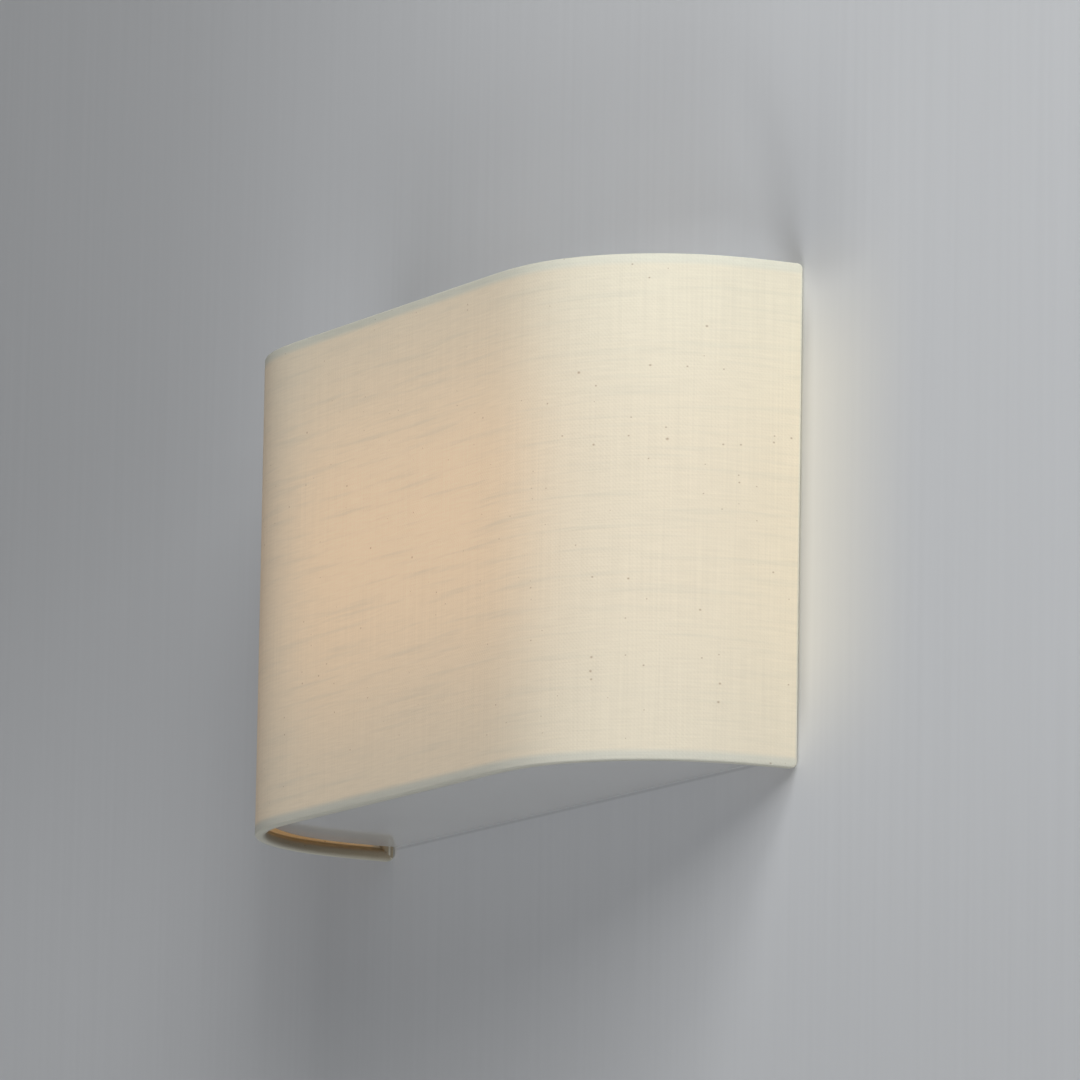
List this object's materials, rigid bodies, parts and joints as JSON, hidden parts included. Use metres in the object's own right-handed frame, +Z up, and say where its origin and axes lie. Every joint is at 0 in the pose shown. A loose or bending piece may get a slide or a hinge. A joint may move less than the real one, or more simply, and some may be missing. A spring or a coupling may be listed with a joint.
{
  "type": "wall light",
  "caption": "Wall light with a rounded fabric shade that lifts off, closing plates above and below, candle lamps inside and a steel wall plate for a wall box.",
  "frame": {"origin": "middle of the two wall box slots, on the wall plate's back face, at half the shade's height", "axes": "+X along the wall to the right, +Y into the wall, +Z up; the shade faces -Y"},
  "size_m": [0.3048, 0.0825, 0.1778],
  "materials": {
    "cloth": "natural cotton and linen plain weave with slubs, matt",
    "liner": "clear to milky plastic sheet, smooth",
    "frame_wire": "white lacquered steel wire",
    "frame_strip": "white lacquered steel strip",
    "nickel": "nickel plated, knurled",
    "zinc_steel": "zinc plated",
    "zinc_plate": "zinc plated sheet",
    "closing_plate": "smooth white powder coat, semi-gloss",
    "wall_plate": "white powder coat, satin",
    "rubber": "moulded, matt",
    "earth_brass": "brass, green tinted",
    "terminal_nylon": "moulded, natural",
    "brass": "bright drawn brass",
    "wire_green": "extruded insulation, satin",
    "wire_black": "extruded insulation, satin",
    "wire_white": "extruded insulation, satin",
    "tinned_copper": "tinned",
    "holder_porcelain": "glazed, white",
    "solder": "soldered button",
    "nickel_cap": "rolled thread, nickel finish",
    "frosted_glass": "frosted inside, lit warm white",
    "emitter": "lit warm white",
    "clip_nylon": "moulded nylon, natural"
  },
  "bodies": {
    "root": {"back_plate": "wall_plate", "bottom_plate": "closing_plate", "bracket_screws": "zinc_steel", "cable_bushing": "rubber", "clamp_screws": "zinc_steel", "earth_lug": "tinned_copper", "earth_screw": "earth_brass", "earth_wire": "wire_green", "left_centre_contact": "brass", "left_holder_body": "holder_porcelain", "left_lamp_bracket": "zinc_plate", "left_live_wire": "wire_black", "left_neutral_wire": "wire_white", "left_screw_shell": "brass", "left_threaded_tube": "zinc_steel", "left_tube_nut": "zinc_steel", "left_wire_clip": "clip_nylon", "right_centre_contact": "brass", "right_holder_body": "holder_porcelain", "right_lamp_bracket": "zinc_plate", "right_live_wire": "wire_black", "right_neutral_wire": "wire_white", "right_screw_shell": "brass", "right_threaded_tube": "zinc_steel", "right_tube_nut": "zinc_steel", "right_wire_clip": "clip_nylon", "shade_studs": "zinc_steel", "terminal_barrels": "brass", "terminal_block": "terminal_nylon", "terminal_screws": "zinc_steel", "top_plate": "closing_plate"},
    "shade": {"fabric_cover": "cloth", "shade_liner": "liner", "top_ring": "frame_wire", "bottom_ring": "frame_wire", "left_upright": "frame_wire", "right_upright": "frame_wire", "left_hanger": "frame_strip", "right_hanger": "frame_strip"},
    "left_nut": {"left_thumb_nut": "nickel"},
    "left_lamp": {"left_lamp_cap": "nickel_cap", "left_lamp_contact": "solder", "left_lamp_glass": "frosted_glass", "left_lamp_emitter": "emitter"},
    "right_nut": {"right_thumb_nut": "nickel"},
    "right_lamp": {"right_lamp_cap": "nickel_cap", "right_lamp_contact": "solder", "right_lamp_glass": "frosted_glass", "right_lamp_emitter": "emitter"}
  },
  "joints": [
    {"name": "shade_lift", "type": "slide", "parent": "root", "child": "shade", "axis": [0, 0, 1], "range_m": [0, 0.19]},
    {"name": "left_nut_turn", "type": "hinge", "parent": "shade", "child": "left_nut", "pos_m": [-0.11814, -0.04829, 0.0872], "axis": [0, 0, 1], "continuous": true},
    {"name": "left_lamp_turn", "type": "hinge", "parent": "root", "child": "left_lamp", "pos_m": [-0.06, -0.041, -0.03], "axis": [0, 0, 1], "continuous": true},
    {"name": "right_nut_turn", "type": "hinge", "parent": "shade", "child": "right_nut", "pos_m": [0.11814, -0.04829, 0.0872], "axis": [0, 0, 1], "continuous": true},
    {"name": "right_lamp_turn", "type": "hinge", "parent": "root", "child": "right_lamp", "pos_m": [0.06, -0.041, -0.03], "axis": [0, 0, 1], "continuous": true}
  ]
}
